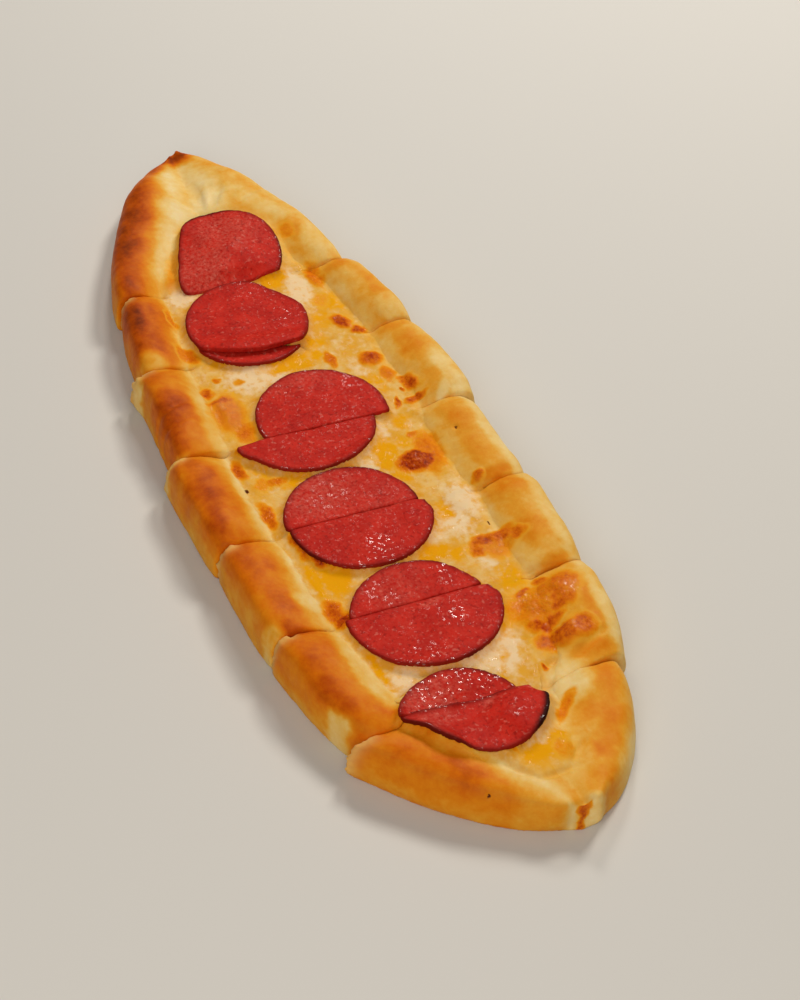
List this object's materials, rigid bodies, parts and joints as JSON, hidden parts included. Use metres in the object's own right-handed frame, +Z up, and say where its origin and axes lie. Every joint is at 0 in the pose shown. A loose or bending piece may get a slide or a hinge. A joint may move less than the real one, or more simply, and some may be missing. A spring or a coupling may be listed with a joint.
{
  "type": "turkish pide",
  "caption": "Boat-shaped pide of golden baked dough with a raised crust rim, cut crosswise into slices, filled with melted cheese and topped with rounds of sausage.",
  "frame": {"origin": "bottom centre of the bounding box, on the plane the pide rests on", "axes": "+X along the boat to its blunt pinched tip, +Y across it to the side both tips bow to, +Z up"},
  "size_m": [0.409, 0.1309, 0.0217],
  "materials": {
    "crust": "baked dough crust, golden to toasted brown, satin where brushed with egg",
    "filling": "melted cheese with yellow fat pools and toasted brown spots",
    "sausage": "fine-grained red sausage, oily, with darker baked edges"
  },
  "bodies": {
    "root": {"crust_slice_1": "crust", "cheese_filling_1": "filling", "crust_slice_2": "crust", "cheese_filling_2": "filling", "crust_slice_3": "crust", "cheese_filling_3": "filling", "crust_slice_4": "crust", "cheese_filling_4": "filling", "crust_slice_5": "crust", "cheese_filling_5": "filling", "crust_slice_6": "crust", "cheese_filling_6": "filling", "crust_slice_7": "crust", "cheese_filling_7": "filling", "sausage_1": "sausage", "sausage_2a": "sausage", "sausage_2b": "sausage", "sausage_3a": "sausage", "sausage_3b": "sausage", "sausage_4a": "sausage", "sausage_4b": "sausage", "sausage_5a": "sausage", "sausage_5b": "sausage", "sausage_6a": "sausage", "sausage_6b": "sausage"}
  },
  "joints": []
}
